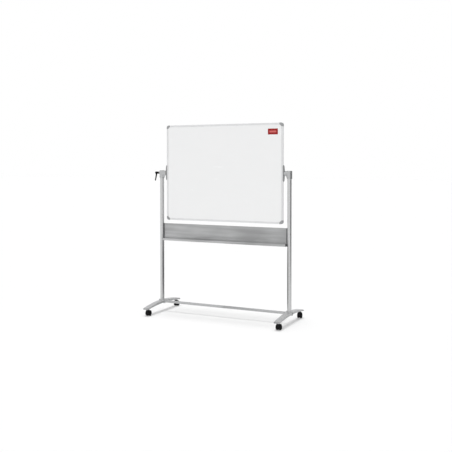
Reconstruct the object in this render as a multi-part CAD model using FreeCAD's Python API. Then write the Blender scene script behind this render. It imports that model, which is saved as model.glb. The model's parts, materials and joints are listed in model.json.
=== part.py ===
"""Rolling whiteboard: a revolving double-sided board between two posts on castors.

Frame: millimetres, +Z up, +X to the reader's right, the front face looks along -Y.
The origin lies on the floor, midway between the two feet.
"""
import FreeCAD, Part
import math
import os

V = FreeCAD.Vector

# ---- driving dimensions ------------------------------------------------------
# board
board_width = 1220.0
board_height = 920.0
board_thickness = 20.0
frame_face = 14.0            # width of the frame seen from the front
frame_wall = 1.5
sheet_thickness = 1.0
sheet_rebate = 0.2           # the sheets' borders are set back this far under the frame's lips
sheet_reveal = 0.5           # hairline between a sheet's raised face and the lips
corner_cap_leg = 34.0
corner_radius = 20.0
corner_gusset = 18.0         # each cap's slanted inner edge takes this much off the frame's opening
corner_proud = 1.0           # corner caps stand this far out of the frame's faces
corner_edge_round = 1.6
pivot_height = 1365.0

# pivot plates, shafts and anchors
plate_height = 150.0
plate_depth = 30.0
plate_thickness = 11.0
plate_end_thickness = 6.0
plate_edge_round = 2.5
plate_screw_radius = 2.5
plate_screw_head_radius = 4.5
plate_screw_key = 1.7
plate_screw_spacing = 92.0
plate_screw_bite = 27.6      # into the anchor block
shaft_radius = 8.0
shaft_stub_radius = 5.0      # thinner inner end, screwed into the anchor block
shaft_chamfer = 1.0
shaft_reach_inside = 40.0    # from the board's side face inwards
anchor_height = 120.0
anchor_depth_inside = 46.0
bush_wall = 3.0
bush_flange_radius = 15.0
bush_flange_thickness = 2.0
bush_length = 26.0
running_clearance = 0.05     # radial, shaft in bush, stem in housing, axle in wheel
side_clearance = 0.5         # between moving flat faces

# posts and heads
post_radius = 20.0
post_wall = 2.0
post_to_board_gap = 41.0     # board's side face to the post's nearest side
head_wall = 5.0
head_boss_radius = 22.0
head_drop = 50.0             # pivot axis down to the sleeve's mouth
head_rise = 24.0             # pivot axis up to the head's top
head_blend = 19.0            # radius of the curve under the boss
head_rib_half = 14.0
head_top_round = 1.5
post_insertion = 25.0        # how far the post goes up into the head
set_screw_radius = 3.0
set_screw_length = 5.5
set_screw_key = 1.5

# feet
foot_width = 58.0
foot_length = 604.0
foot_thickness = 24.0        # at the crown; the bar thins towards its ends
foot_arch_radius = 1535.0
foot_low_radius = 2180.0     # of the flatter underside
foot_seat_proud = 4.6        # castor seats stand this far below the arch, at the stems
foot_wall = 2.5
foot_edge_round = 7.0
foot_solid_half = 26.0       # half length of the solid middle
foot_cap_thickness = 4.0
foot_cap_spigot = 10.0
hub_radius = 20.0
hub_proud = 2.0              # hub faces stand out of the foot's sides
hub_edge_round = 1.5
post_socket_depth = 6.0

# crossbar
crossbar_radius = 12.5
crossbar_wall = 1.5
crossbar_drop = 11.0         # foot's crown down to the crossbar's axis
crossbar_plug_length = 34.0
crossbar_bolt_radius = 4.0
crossbar_bolt_head_radius = 7.0
crossbar_bolt_head_height = 5.0
crossbar_bolt_key = 3.2
crossbar_bolt_reach = 24.0   # into the crossbar's plug

# post base fixing
post_plug_length = 40.0
post_bolt_radius = 3.0
post_bolt_head_radius = 5.0
post_bolt_head_height = 6.0
post_bolt_key = 2.6
post_bolt_spacing = 22.0
post_bolt_reach = 30.0       # into the post's plug
bolt_head_clearance = 0.5

# pen tray and its back panel
tray_top = 869.0
tray_bottom = 703.0
tray_depth = 34.0            # from the panel's plane forwards
tray_lip_height = 22.0
tray_sheet = 2.0
tray_bend = 4.0
tray_back_height = 20.0
tray_hem = 8.0
tray_cap_thickness = 2.0
tray_cap_round = 3.0
tray_seat_depth = 0.2        # panel and end caps stand this deep in the trough's floor
bracket_width = 6.5
bracket_depth = 22.0
bracket_wrap = 10.0          # reach of the saddle along the post's side
bracket_slot_depth = 3.0
bracket_edge_round = 2.0
bracket_screw_radius = 2.0
bracket_screw_head_radius = 3.5
bracket_screw_head_height = 1.8
bracket_screw_length = 14.0
bracket_screw_inset = 30.0   # from the bracket's ends
rivet_radius = 1.6
rivet_head_radius = 3.2
rivet_head_height = 1.2
rivet_count = 5

# clamp lever
clamp_boss_radius = 13.0
clamp_boss_proud = 2.0
stud_radius = 5.0
stud_collar_radius = 10.0
stud_collar_thickness = 3.0
insert_radius = 8.0
insert_length = 15.0
lever_hub_radius = 12.0
lever_hub_length = 45.0
lever_hub_round = 4.5
lever_floor = 3.0
lever_recess_radius = 7.4
lever_drop = 84.0
lever_lean = 14.0
lever_arm_offset = 33.0      # from the hub's inner end to the arm's root
lever_root_radius = 7.0
lever_tip_radius = 5.5
lever_screw_radius = 2.5
lever_screw_head_radius = 6.6
lever_screw_head_height = 3.5
lever_screw_slot_depth = 1.7
lever_screw_slot_half = 0.8
lever_screw_bite = 9.0       # into the stud's insert
spring_wire_radius = 0.6
spring_coil_radius = 5.2
spring_length = 14.0
spring_turns = 5.0
lever_fit = 0.1

# castors
castor_spread = 532.0        # stem to stem along a foot
wheel_radius = 24.5
wheel_width = 17.5
wheel_edge_round = 8.0
wheel_inner_round = 1.5
wheel_dish_depth = 1.5
wheel_dish_radius = 14.5
web_thickness = 12.0
castor_trail = 13.5
hood_gap = 1.0
hood_wall = 3.4
hood_half_width = 20.0
hood_edge_round = 3.0
hood_start = -25.0           # degrees above the horizontal where the hood begins, ahead of the wheels
hood_end = 150.0
neck_radius = 16.0
neck_edge_round = 3.0
castor_boss_radius = 13.0
neck_rise = 10.2             # hood's top up to the foot's castor seat
stem_radius = 5.5
pintle_radius = 4.0
pintle_length = 22.0
stem_length = 18.0
socket_length = 34.0
socket_width = 40.0
axle_radius = 3.0
axle_end_cover = 3.0         # wheel left solid beyond the axle's end
web_radius = 21.5            # the web closes the space between the wheels, clear of the floor
castor_swivel = {            # angle about +Z that each castor stands at
    "front_left": 0.0,
    "front_right": 0.0,
    "rear_left": 0.0,
    "rear_right": 12.0,
}

# ---- derived places ----------------------------------------------------------
board_side = board_width / 2
board_half_height = board_height / 2
post_x = board_side + post_to_board_gap + post_radius
panel_half_thickness = board_thickness / 2 - frame_wall
rebate_half_thickness = panel_half_thickness - sheet_rebate
plate_face_x = board_side + plate_thickness
bush_face_x = plate_face_x + side_clearance
boss_face_x = bush_face_x + bush_flange_thickness
bush_radius = shaft_radius + running_clearance + bush_wall
bush_end_x = boss_face_x + bush_length
sleeve_radius = post_radius + head_wall
post_top = pivot_height - head_drop + post_insertion
foot_side_in = post_x - foot_width / 2
foot_side_out = post_x + foot_width / 2
hub_in = foot_side_in - hub_proud
hub_out = foot_side_out + hub_proud
tube_half_length = foot_length / 2 - foot_cap_thickness
castor_y = castor_spread / 2
castor_boss_height = 2 * wheel_radius + hood_gap + hood_wall + neck_rise
arch_rise = foot_low_radius - math.sqrt(foot_low_radius ** 2 - castor_y ** 2)
foot_crown_height = castor_boss_height + foot_seat_proud + arch_rise + foot_thickness
arch_centre_z = foot_crown_height - foot_arch_radius
low_centre_z = foot_crown_height - foot_thickness - foot_low_radius
post_bottom = foot_crown_height - post_socket_depth
crossbar_height = foot_crown_height - crossbar_drop
clamp_face_x = post_x + sleeve_radius + clamp_boss_proud
stud_tip_x = bush_end_x + side_clearance
collar_in_x = clamp_face_x + side_clearance
collar_out_x = collar_in_x + stud_collar_thickness
insert_out_x = collar_out_x + insert_length
lever_in_x = collar_out_x + side_clearance
lever_out_x = lever_in_x + lever_hub_length
shoulder_in_x = insert_out_x + side_clearance
shoulder_out_x = shoulder_in_x + lever_floor
screw_head_x = shoulder_out_x + spring_length
bracket_in_x = post_x - post_radius - bracket_width
panel_end_x = bracket_in_x + bracket_slot_depth - side_clearance
trough_end_x = bracket_in_x - side_clearance
tray_floor = tray_bottom + tray_sheet
tray_seat = tray_floor - tray_seat_depth
castor_places = {
    "front_left": (-post_x, -castor_y),
    "front_right": (post_x, -castor_y),
    "rear_left": (-post_x, castor_y),
    "rear_right": (post_x, castor_y),
}


# ---- helpers -----------------------------------------------------------------
def box(x0, x1, y0, y1, z0, z1):
    """A block between two corners."""
    return Part.makeBox(x1 - x0, y1 - y0, z1 - z0, V(x0, y0, z0))


def rod(radius, start, end):
    """A round bar from one point to another."""
    along = end - start
    return Part.makeCylinder(radius, along.Length, start, along)


def rod_x(radius, x0, x1, y=0.0, z=pivot_height):
    """A round bar along X."""
    return rod(radius, V(x0, y, z), V(x1, y, z))


def rod_z(radius, x, y, z0, z1):
    """An upright round bar."""
    return rod(radius, V(x, y, z0), V(x, y, z1))


def left_of(shape):
    """The mirror copy on the left-hand side."""
    return shape.mirror(V(0, 0, 0), V(1, 0, 0))


def both(shape):
    """A piece and its mirror copy, as two separate solids."""
    return Part.makeCompound([shape, left_of(shape)])


def edges_along(shape, axis, least=0.0):
    """The straight edges that run along an axis, longer than a least length."""
    found = []
    for edge in shape.Edges:
        if len(edge.Vertexes) == 2 and edge.Length > least:
            run = edge.Vertexes[1].Point - edge.Vertexes[0].Point
            straight = abs(edge.Length - run.Length) < 1e-6
            if straight and abs(run.normalize().dot(axis)) > 0.9999:
                found.append(edge)
    return found


def rim_edges(shape, height, axis_value):
    """The edges that lie whole in the plane where axis_value(point) is height."""
    found = []
    for edge in shape.Edges:
        points = edge.discretize(5)
        if all(abs(axis_value(point) - height) < 1e-4 for point in points):
            found.append(edge)
    return found


def keyed(screw, radius, head_end, inward):
    """A screw with a hexagonal socket, as deep as its radius, from the end of its head inwards."""
    corners = []
    for i in range(7):
        angle = math.radians(60 * i)
        corners.append(V(radius * math.cos(angle), radius * math.sin(angle), 0))
    socket = Part.Face(Part.makePolygon(corners)).extrude(V(0, 0, radius))
    socket.Placement = FreeCAD.Placement(head_end, FreeCAD.Rotation(V(0, 0, 1), inward))
    return screw.cut(socket)


def save(name, shape):
    """Write one node."""
    shape.exportStep("parts/" + name + ".step")


os.makedirs("parts", exist_ok=True)


# ---- board -------------------------------------------------------------------
def board_slab(y0, y1):
    """A slab of the panel's outline, with the corners rounded to fit inside the corner caps."""
    half_w = board_side - frame_wall
    half_h = board_half_height - frame_wall
    slab = box(-half_w, half_w, y0, y1, pivot_height - half_h, pivot_height + half_h)
    upright = edges_along(slab, V(0, 1, 0))
    return slab.makeFillet(corner_radius - frame_wall, upright)


def writing_sheet():
    """Enamelled steel sheet at the back, its border set back where the frame's lips hold it."""
    core_half = panel_half_thickness - sheet_thickness
    half_w = board_side - frame_face - sheet_reveal
    half_h = board_half_height - frame_face - sheet_reveal
    face = box(-half_w, half_w, rebate_half_thickness, panel_half_thickness,
               pivot_height - half_h, pivot_height + half_h)
    slant = corner_gusset - (2 - math.sqrt(2)) * sheet_reveal
    face = face.makeChamfer(slant, edges_along(face, V(0, 1, 0)))
    return board_slab(core_half, rebate_half_thickness).fuse(face).removeSplitter()


def anchor_block():
    """Hardwood block inside the right-hand edge that the plate's screws and the shaft bite into."""
    out_x = board_side - frame_wall
    half_y = panel_half_thickness - sheet_thickness
    half_z = anchor_height / 2
    return box(out_x - anchor_depth_inside, out_x, -half_y, half_y,
               pivot_height - half_z, pivot_height + half_z)


def plate_surface_x(dz):
    """Outer face of the pivot plate at a height dz off the pivot axis."""
    sagitta = plate_thickness - plate_end_thickness
    half = plate_height / 2
    arc = (half * half + sagitta * sagitta) / (2 * sagitta)
    return plate_face_x - arc + math.sqrt(arc * arc - dz * dz)


def plate_screw(dz):
    """Countersunk screw of the right-hand pivot plate, first without and then with its socket."""
    head_x = plate_surface_x(abs(dz) + plate_screw_head_radius)
    cone_height = plate_screw_head_radius - plate_screw_radius
    z = pivot_height + dz
    tip_x = board_side - frame_wall - plate_screw_bite
    cone = Part.makeCone(plate_screw_radius, plate_screw_head_radius, cone_height,
                         V(head_x - cone_height, 0, z), V(1, 0, 0))
    screw = rod_x(plate_screw_radius, tip_x, head_x - cone_height, z=z).fuse(cone).removeSplitter()
    return screw, keyed(screw, plate_screw_key, V(head_x, 0, z), V(-1, 0, 0))


plate_screw_pairs = [plate_screw(sign * plate_screw_spacing / 2) for sign in (-1, 1)]
plate_screws = [screw for screw, _ in plate_screw_pairs]
journal = rod_x(shaft_radius, board_side, bush_end_x)
journal = journal.makeChamfer(shaft_chamfer, rim_edges(journal, bush_end_x, lambda p: p.x))
stub = rod_x(shaft_stub_radius, board_side - shaft_reach_inside, board_side)
right_shaft = journal.fuse(stub).removeSplitter()
plate_metal = plate_screws + [right_shaft]


def pivot_plate():
    """Capsule-shaped boss on the board's right-hand edge, thick in the middle, thin at its ends."""
    half_z = plate_height / 2 - plate_depth / 2
    radius = plate_depth / 2
    body = box(board_side, plate_face_x, -radius, radius,
               pivot_height - half_z, pivot_height + half_z)
    for sign in (-1, 1):
        body = body.fuse(rod_x(radius, board_side, plate_face_x, z=pivot_height + sign * half_z))
    sagitta = plate_thickness - plate_end_thickness
    arc = ((plate_height / 2) ** 2 + sagitta ** 2) / (2 * sagitta)
    drum = rod(arc, V(plate_face_x - arc, -plate_depth, pivot_height),
               V(plate_face_x - arc, plate_depth, pivot_height))
    body = body.common(drum).removeSplitter()
    crown = [e for e in body.Edges
             if all(abs(p.x - plate_surface_x(p.z - pivot_height)) < 1e-3 for p in e.discretize(7))]
    body = body.makeFillet(plate_edge_round, crown)
    screw_way = [rod_x(plate_screw_head_radius, plate_surface_x(plate_screw_spacing / 2
                       + plate_screw_head_radius), plate_face_x,
                       z=pivot_height + sign * plate_screw_spacing / 2) for sign in (-1, 1)]
    return body.cut(Part.makeCompound(plate_metal + screw_way))


def side_rail():
    """U-shaped rail along the board's right-hand edge, between the corner caps."""
    half_z = board_half_height - corner_cap_leg
    half_y = board_thickness / 2
    outer = box(board_side - frame_face, board_side, -half_y, half_y,
                pivot_height - half_z, pivot_height + half_z)
    groove = box(board_side - frame_face, board_side - frame_wall,
                 -rebate_half_thickness, rebate_half_thickness,
                 pivot_height - half_z, pivot_height + half_z)
    return outer.cut(groove).cut(Part.makeCompound(plate_metal))


def cross_rail(sign):
    """U-shaped rail along the board's top (sign 1) or bottom (sign -1) edge."""
    half_x = board_side - corner_cap_leg
    half_y = board_thickness / 2
    edge_z = board_half_height
    outer = box(-half_x, half_x, -half_y, half_y, edge_z - frame_face, edge_z)
    groove = box(-half_x, half_x, -rebate_half_thickness, rebate_half_thickness,
                 edge_z - frame_face, edge_z - frame_wall)
    rail = outer.cut(groove)
    if sign < 0:
        rail = rail.mirror(V(0, 0, 0), V(0, 0, 1))
    rail.translate(V(0, 0, pivot_height))
    return rail


def corner_cap():
    """Plastic cap round the panel's top right corner, with a gusset across the frame's opening."""
    half_y = board_thickness / 2 + corner_proud
    side = board_side + corner_proud
    top = pivot_height + board_half_height + corner_proud
    leg_x = board_side - corner_cap_leg
    leg_z = pivot_height + board_half_height - corner_cap_leg
    cap = box(leg_x, side, -half_y, half_y, leg_z, top)
    upright = [e for e in edges_along(cap, V(0, 1, 0))
               if e.CenterOfMass.x > side - 0.1 and e.CenterOfMass.z > top - 0.1]
    cap = cap.makeFillet(corner_radius + corner_proud, upright)
    faces = rim_edges(cap, half_y, lambda p: abs(p.y))
    outer = [e for e in faces if e.CenterOfMass.x > leg_x + 1 and e.CenterOfMass.z > leg_z + 1]
    cap = cap.makeFillet(corner_edge_round, outer)
    window = box(leg_x - corner_cap_leg, board_side - frame_face, -board_thickness, board_thickness,
                 leg_z - corner_cap_leg, pivot_height + board_half_height - frame_face)
    inner_corner = [e for e in edges_along(window, V(0, 1, 0))
                    if e.CenterOfMass.x > leg_x and e.CenterOfMass.z > leg_z]
    window = window.makeChamfer(corner_gusset, inner_corner)
    return cap.cut(window).cut(board_slab(-rebate_half_thickness, rebate_half_thickness))


core_half = panel_half_thickness - sheet_thickness
anchor = anchor_block()
core = board_slab(-core_half, core_half).cut(both(anchor))
save("board_core", core)
sheet = writing_sheet()
save("back_sheet", sheet)
save("front_sheet", sheet.mirror(V(0, 0, 0), V(0, 1, 0)))
save("frame_top", cross_rail(1))
save("frame_bottom", cross_rail(-1))
rail = side_rail()
save("frame_right", rail)
save("frame_left", left_of(rail))
cap = corner_cap()
low_cap = cap.mirror(V(0, 0, pivot_height), V(0, 0, 1))
save("frame_corners", Part.makeCompound([cap, left_of(cap), low_cap, left_of(low_cap)]))
anchor = anchor.cut(Part.makeCompound(plate_metal))
save("pivot_anchor_blocks", both(anchor))
plate = pivot_plate()
save("right_pivot_plate", plate)
save("left_pivot_plate", left_of(plate))
save("pivot_plate_screws", both(Part.makeCompound([screw for _, screw in plate_screw_pairs])))
save("right_pivot_shaft", right_shaft)
save("left_pivot_shaft", left_of(right_shaft))


# ---- pivot heads -------------------------------------------------------------
set_screw_end = V(post_x, post_radius + set_screw_length,
                  pivot_height - head_drop + post_insertion / 2)


def pivot_head(clamped):
    """Cast head on the right-hand post: an upright sleeve with a boss towards the board."""
    top = pivot_height + head_rise
    sleeve = rod_z(sleeve_radius, post_x, 0, pivot_height - head_drop, top)
    boss = rod_x(head_boss_radius, boss_face_x, post_x)
    sleeve = sleeve.makeFillet(head_top_round, rim_edges(sleeve, top, lambda p: p.z))
    blend_x = post_x - sleeve_radius - head_blend
    blend_z = pivot_height - head_boss_radius - head_blend
    rib = box(blend_x, post_x, -head_rib_half, head_rib_half, blend_z, pivot_height)
    scoop = rod(head_blend, V(blend_x, -head_rib_half, blend_z), V(blend_x, head_rib_half, blend_z))
    rib = rib.cut(scoop)
    head = sleeve.fuse([boss, rib]).removeSplitter()
    if clamped:
        head = head.fuse(rod_x(clamp_boss_radius, post_x, clamp_face_x)).removeSplitter()
        head = head.cut(rod_x(stud_radius + running_clearance, bush_end_x, clamp_face_x))
    socket = rod_z(post_radius, post_x, 0, pivot_height - head_drop, post_top)
    bush_way = rod_x(bush_radius, boss_face_x, bush_end_x)
    return head.cut(socket).cut(bush_way).cut(head_set_screw())


def head_set_screw():
    """Grub screw at the back of the head that holds the post."""
    return rod(set_screw_radius, set_screw_end - V(0, set_screw_length, 0), set_screw_end)


def pivot_bush():
    """Flanged plastic bush in the head's boss."""
    flange = rod_x(bush_flange_radius, bush_face_x, boss_face_x)
    sleeve = rod_x(bush_radius, boss_face_x, bush_end_x)
    bore = rod_x(shaft_radius + running_clearance, bush_face_x, bush_end_x)
    return flange.fuse(sleeve).cut(bore).removeSplitter()


save("right_pivot_head", pivot_head(False))
save("left_pivot_head", left_of(pivot_head(True)))
save("head_set_screws", both(keyed(head_set_screw(), set_screw_key, set_screw_end, V(0, -1, 0))))
save("pivot_bushes", both(pivot_bush()))
post = rod_z(post_radius, post_x, 0, post_bottom, post_top)
post = post.cut(rod_z(post_radius - post_wall, post_x, 0, post_bottom, post_top))


# ---- feet --------------------------------------------------------------------
def arch_band(inset, half_length):
    """The foot's curved bar, at the right-hand post, shrunk all round by an inset."""
    top_radius = foot_arch_radius - inset
    low_radius = foot_low_radius + inset
    half_x = foot_width / 2 - inset
    ends = [V(post_x + sign * half_x, 0, 0) for sign in (-1, 1)]
    upper = rod(top_radius, *[end + V(0, 0, arch_centre_z) for end in ends])
    ring = upper.cut(rod(low_radius, *[end + V(0, 0, low_centre_z) for end in ends]))
    window = box(post_x - half_x, post_x + half_x, -half_length, half_length, 0, foot_crown_height)
    band = ring.common(window).removeSplitter()
    long_edges = [e for e in band.Edges
                  if e.Length > half_length and abs(abs(e.CenterOfMass.x - post_x) - half_x) < 1e-3]
    return band.makeFillet(foot_edge_round - inset, long_edges)


def castor_stem(sign):
    """Turned steel stem: the shank held in the foot and the pintle that the castor turns on."""
    y = sign * castor_y
    shank = rod_z(stem_radius, post_x, y, castor_boss_height, castor_boss_height + stem_length)
    pintle = rod_z(pintle_radius, post_x, y, castor_boss_height - pintle_length, castor_boss_height)
    return shank.fuse(pintle).removeSplitter()


def castor_socket(sign, cavity):
    """Plastic plug inside the foot that grips a stem."""
    y = sign * castor_y
    block = box(post_x - socket_width / 2, post_x + socket_width / 2,
                y - socket_length / 2, y + socket_length / 2, 0, foot_crown_height)
    return cavity.common(block).cut(castor_stem(sign))


def crossbar_bolt():
    """Socket screw through the foot's hub into the crossbar's plug."""
    tip_x = hub_in - crossbar_bolt_reach
    head_in_x = hub_out - crossbar_bolt_head_height - bolt_head_clearance
    shank = rod_x(crossbar_bolt_radius, tip_x, head_in_x, z=crossbar_height)
    head = rod_x(crossbar_bolt_head_radius, head_in_x, head_in_x + crossbar_bolt_head_height,
                 z=crossbar_height)
    bolt = shank.fuse(head).removeSplitter()
    return keyed(bolt, crossbar_bolt_key, V(hub_out - bolt_head_clearance, 0, crossbar_height),
                 V(-1, 0, 0))


def post_bolt(sign):
    """Upright socket screw through the foot into the post's plug."""
    y = sign * post_bolt_spacing / 2
    seat_z = foot_crown_height - foot_thickness
    shank = rod_z(post_bolt_radius, post_x, y, seat_z, post_bottom + post_bolt_reach)
    head_end = V(post_x, y, seat_z - post_bolt_head_height)
    head = rod_z(post_bolt_head_radius, post_x, y, head_end.z, seat_z)
    return keyed(shank.fuse(head).removeSplitter(), post_bolt_key, head_end, V(0, 0, 1))


def post_bolt_way(sign):
    """Hole and counterbore of an upright screw."""
    y = sign * post_bolt_spacing / 2
    seat_z = foot_crown_height - foot_thickness
    wide = rod_z(post_bolt_head_radius + bolt_head_clearance, post_x, y,
                 crossbar_height - hub_radius - 1, seat_z)
    return wide.fuse(rod_z(post_bolt_radius, post_x, y, seat_z, foot_crown_height))


def foot(cavity):
    """Arched foot on the right-hand side: a hollow bar with a solid middle and a round hub."""
    bar = arch_band(0.0, tube_half_length)
    hub = rod_x(hub_radius, hub_in, hub_out, z=crossbar_height)
    rims = [e for e in hub.Edges if abs(e.Length - 2 * math.pi * hub_radius) < 1e-3]
    hub = hub.makeFillet(hub_edge_round, rims)
    bar = bar.fuse(hub)
    seats = []
    for sign in (-1, 1):
        seat = rod_z(castor_boss_radius, post_x, sign * castor_y, castor_boss_height,
                     foot_crown_height)
        seats.append(seat.common(arch_fill()))
    bar = bar.fuse(seats).removeSplitter()
    hub_top = crossbar_height + hub_radius
    cuts = [cavity, rod_z(post_radius, post_x, 0, post_bottom, hub_top + 1)]
    for sign in (-1, 1):
        cuts += [castor_stem(sign), post_bolt_way(sign)]
    head_in_x = hub_out - crossbar_bolt_head_height - bolt_head_clearance
    cuts.append(rod_x(crossbar_bolt_radius, hub_in, hub_out, z=crossbar_height))
    cuts.append(rod_x(crossbar_bolt_head_radius + bolt_head_clearance, head_in_x, hub_out,
                      z=crossbar_height))
    return bar.cut(cuts)


def arch_fill():
    """Everything under the foot's inner roof, where the castor seats may reach."""
    half_x = foot_width / 2
    roof = rod(foot_arch_radius - foot_wall, V(post_x - half_x, 0, arch_centre_z),
               V(post_x + half_x, 0, arch_centre_z))
    return roof.common(box(post_x - half_x, post_x + half_x, -foot_length, foot_length,
                           0, foot_crown_height))


def foot_cavity():
    """The two hollows of a foot, either side of its solid middle."""
    hollow = arch_band(foot_wall, tube_half_length)
    middle = box(foot_side_in, foot_side_out, -foot_solid_half, foot_solid_half,
                 0, foot_crown_height)
    return hollow.cut(middle)


def foot_cap(sign, cavity):
    """Grey plastic cap that closes a foot's end, with a spigot inside the bar."""
    flange = arch_band(0.0, foot_length / 2)
    flange = flange.cut(box(foot_side_in - 1, foot_side_out + 1, -tube_half_length,
                            tube_half_length, 0, foot_crown_height + 1))
    flange = [s for s in flange.Solids if s.CenterOfMass.y * sign > 0][0]
    spigot_start = sign * (tube_half_length - foot_cap_spigot)
    low, high = sorted((spigot_start, sign * tube_half_length))
    spigot = cavity.common(box(foot_side_in, foot_side_out, low, high, 0, foot_crown_height))
    return flange.fuse(spigot).removeSplitter()


cavity = foot_cavity()
right_foot = foot(cavity)
save("right_foot", right_foot)
save("left_foot", left_of(right_foot))
end_caps = Part.makeCompound([foot_cap(sign, cavity) for sign in (-1, 1)])
save("foot_end_caps", both(end_caps))
save("castor_sockets", both(Part.makeCompound([castor_socket(s, cavity) for s in (-1, 1)])))
save("castor_stems", both(Part.makeCompound([castor_stem(s) for s in (-1, 1)])))
save("crossbar_bolts", both(crossbar_bolt()))
save("post_bolts", both(Part.makeCompound([post_bolt(s) for s in (-1, 1)])))
plug = rod_z(post_radius - post_wall, post_x, 0, post_bottom, post_bottom + post_plug_length)
save("post_plugs", both(plug.cut([post_bolt(s) for s in (-1, 1)])))

# ---- crossbar ----------------------------------------------------------------
crossbar = rod_x(crossbar_radius, -hub_in, hub_in, z=crossbar_height)
crossbar = crossbar.cut(rod_x(crossbar_radius - crossbar_wall, -hub_in, hub_in, z=crossbar_height))
save("crossbar", crossbar)
bar_plug = rod_x(crossbar_radius - crossbar_wall, hub_in - crossbar_plug_length, hub_in,
                 z=crossbar_height)
save("crossbar_plugs", both(bar_plug.cut(crossbar_bolt())))


# ---- pen tray ----------------------------------------------------------------
def bracket_screw(z):
    """Pan-head screw from the right-hand bracket into the post."""
    seat_x = bracket_in_x + bracket_slot_depth + bracket_screw_head_height
    head = rod_x(bracket_screw_head_radius, seat_x - bracket_screw_head_height, seat_x, z=z)
    shank = rod_x(bracket_screw_radius, seat_x, seat_x + bracket_screw_length, z=z)
    return head.fuse(shank).removeSplitter()


bracket_screw_heights = (tray_bottom + bracket_screw_inset, tray_top - bracket_screw_inset)
bracket_screws = [bracket_screw(z) for z in bracket_screw_heights]
post = post.cut(Part.makeCompound(bracket_screws))
post = post.cut(head_set_screw())
save("right_post", post)
save("left_post", left_of(post))


def tray_bracket():
    """Saddle on the right-hand post with a slot for the panel's end."""
    half_y = bracket_depth / 2
    body = box(bracket_in_x, post_x - post_radius + bracket_wrap, -half_y, half_y,
               tray_bottom, tray_top)
    body = body.makeFillet(bracket_edge_round, [e for e in edges_along(body, V(0, 0, 1))
                                 if e.CenterOfMass.x < bracket_in_x + 1])
    body = body.cut(rod_z(post_radius, post_x, 0, tray_bottom, tray_top))
    slot = box(bracket_in_x, bracket_in_x + bracket_slot_depth, -tray_sheet / 2, tray_sheet / 2,
               tray_bottom, tray_top)
    hem_slot = box(bracket_in_x, bracket_in_x + bracket_slot_depth, -tray_sheet / 2,
                   half_y, tray_top - tray_sheet, tray_top)
    cuts = [slot, hem_slot] + bracket_screws
    for z in bracket_screw_heights:
        cuts.append(rod_x(bracket_screw_head_radius, bracket_in_x,
                          bracket_in_x + bracket_slot_depth, z=z))
    return body.cut(cuts)


def tray_panel():
    """Upright back panel between the brackets, with its top edge folded back."""
    half_t = tray_sheet / 2
    web = box(-trough_end_x, trough_end_x, -half_t, half_t, tray_seat, tray_top)
    web = web.fuse(box(-panel_end_x, panel_end_x, -half_t, half_t, tray_floor, tray_top))
    hem = box(-panel_end_x, panel_end_x, half_t, tray_hem, tray_top - tray_sheet, tray_top)
    return web.fuse(hem).removeSplitter()


def pen_trough():
    """Channel for the pens: floor, front lip and a low back wall behind the panel."""
    half_t = tray_sheet / 2
    back_y = half_t + tray_sheet
    front_y = -half_t - tray_depth
    outer = box(-trough_end_x, trough_end_x, front_y, back_y,
                tray_bottom, tray_bottom + tray_lip_height)
    outer = outer.makeFillet(tray_bend, [e for e in edges_along(outer, V(1, 0, 0))
                                         if e.CenterOfMass.z < tray_bottom + 1
                                         and e.CenterOfMass.y < 0])
    inner = box(-trough_end_x, trough_end_x, front_y + tray_sheet, half_t,
                tray_floor, tray_bottom + tray_lip_height)
    inner = inner.makeFillet(tray_bend - tray_sheet, [e for e in edges_along(inner, V(1, 0, 0))
                                                      if e.CenterOfMass.z < tray_bottom + 3
                                                      and e.CenterOfMass.y < -half_t - 1])
    trim = box(-trough_end_x, trough_end_x, half_t, back_y,
               tray_bottom + tray_back_height, tray_bottom + tray_lip_height)
    seat = box(-trough_end_x, trough_end_x, -half_t, half_t, tray_seat, tray_floor)
    return outer.cut([inner, trim, seat, both(trough_cap())])


def trough_cap():
    """End plate of the trough, inside its right-hand end."""
    half_t = tray_sheet / 2
    front_y = -half_t - tray_depth + tray_sheet
    plate = box(trough_end_x - tray_cap_thickness, trough_end_x, front_y, -half_t,
                tray_seat, tray_bottom + tray_lip_height)
    low_front = [e for e in edges_along(plate, V(1, 0, 0))
                 if e.CenterOfMass.z < tray_bottom + 3 and e.CenterOfMass.y < -tray_depth / 2]
    return plate.makeFillet(tray_cap_round, low_front)


def rivet(x):
    """Blind rivet that holds the panel to the trough's back wall."""
    half_t = tray_sheet / 2
    z = tray_bottom + tray_back_height / 2 + tray_sheet / 2
    body = rod(rivet_radius, V(x, -half_t, z), V(x, half_t + tray_sheet, z))
    front = rod(rivet_head_radius, V(x, -half_t - rivet_head_height, z), V(x, -half_t, z))
    back = rod(rivet_head_radius, V(x, half_t + tray_sheet, z),
               V(x, half_t + tray_sheet + rivet_head_height, z))
    return body.fuse([front, back]).removeSplitter()


rivet_pitch = 2 * trough_end_x / (rivet_count + 1)
rivets = Part.makeCompound([rivet(-trough_end_x + rivet_pitch * (i + 1)) for i in range(rivet_count)])
bracket = tray_bracket()
save("right_tray_bracket", bracket)
save("left_tray_bracket", left_of(bracket))
save("tray_panel", tray_panel().cut(rivets))
save("pen_tray", pen_trough().cut(rivets))
save("tray_end_caps", both(trough_cap()))
save("tray_rivets", rivets)
save("tray_bracket_screws", both(Part.makeCompound(bracket_screws)))


# ---- clamp lever, built at the right-hand side and mirrored ------------------
def clamp_stud():
    """Threaded stud with its thrust collar and the splined insert inside the handle."""
    stud = rod_x(stud_radius, stud_tip_x, collar_in_x)
    collar = rod_x(stud_collar_radius, collar_in_x, collar_out_x)
    insert = rod_x(insert_radius, collar_out_x, insert_out_x)
    return stud.fuse([collar, insert]).cut(clamp_screw()).removeSplitter()


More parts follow.
